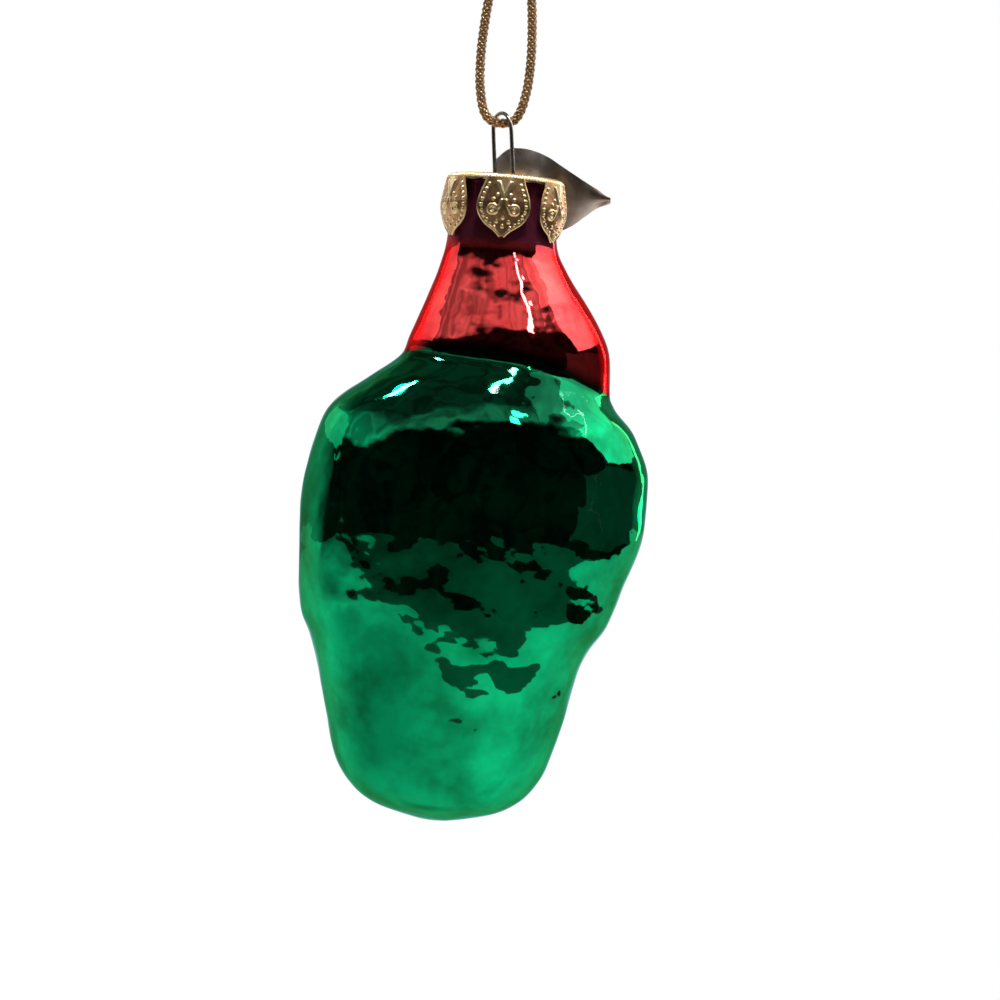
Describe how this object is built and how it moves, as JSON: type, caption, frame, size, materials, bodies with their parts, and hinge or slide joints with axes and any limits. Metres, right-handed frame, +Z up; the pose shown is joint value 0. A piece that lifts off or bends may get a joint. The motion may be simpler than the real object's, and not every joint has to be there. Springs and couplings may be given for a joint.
{
  "type": "glass santa ornament",
  "caption": "Hollow blown-glass Father Christmas with an open neck, under a petalled crown cap with a wire hairpin, a leaf-shaped metal tag and a knotted cord loop.",
  "frame": {"origin": "where a hook holds the cord's loop, inside its top and just under the knot", "axes": "+Z up along the hanging line and the neck; -Y the way the figure faces; +X the figure's left"},
  "size_m": [0.052, 0.0429, 0.1453],
  "materials": {
    "cord": "braided metallic yarn",
    "wire": "drawn spring wire, slightly dull",
    "tag_metal": "thin polished sheet",
    "cap_metal": "stamped and bright",
    "lacquered_glass": "silvered inside, lacquered green and red outside, mirror bright"
  },
  "bodies": {
    "cord": {"hanging_cord": "cord", "cord_knot": "cord"},
    "hanger": {"wire_hanger": "wire"},
    "tag": {"tag": "tag_metal"},
    "cap": {"crown_cap": "cap_metal"},
    "figure": {"glass_shell": "lacquered_glass"}
  },
  "joints": [
    {"name": "hanger_swing", "type": "hinge", "parent": "cord", "child": "hanger", "pos_m": [0, 0, -0.0262], "axis": [1, 0, 0], "range_deg": [-45, 45]},
    {"name": "cap_turn", "type": "hinge", "parent": "hanger", "child": "cap", "pos_m": [-0.0014, 0, -0.0343], "axis": [0, 0, 1], "continuous": true},
    {"name": "glass_pull_off", "type": "slide", "parent": "cap", "child": "figure", "axis": [0, 0, -1], "range_m": [0, 0.03]},
    {"name": "tag_swing", "type": "hinge", "parent": "hanger", "child": "tag", "pos_m": [0.00034, -0.00165, -0.03385], "axis": [-0.54, 0.8417, 0], "range_deg": [0, 45]}
  ]
}
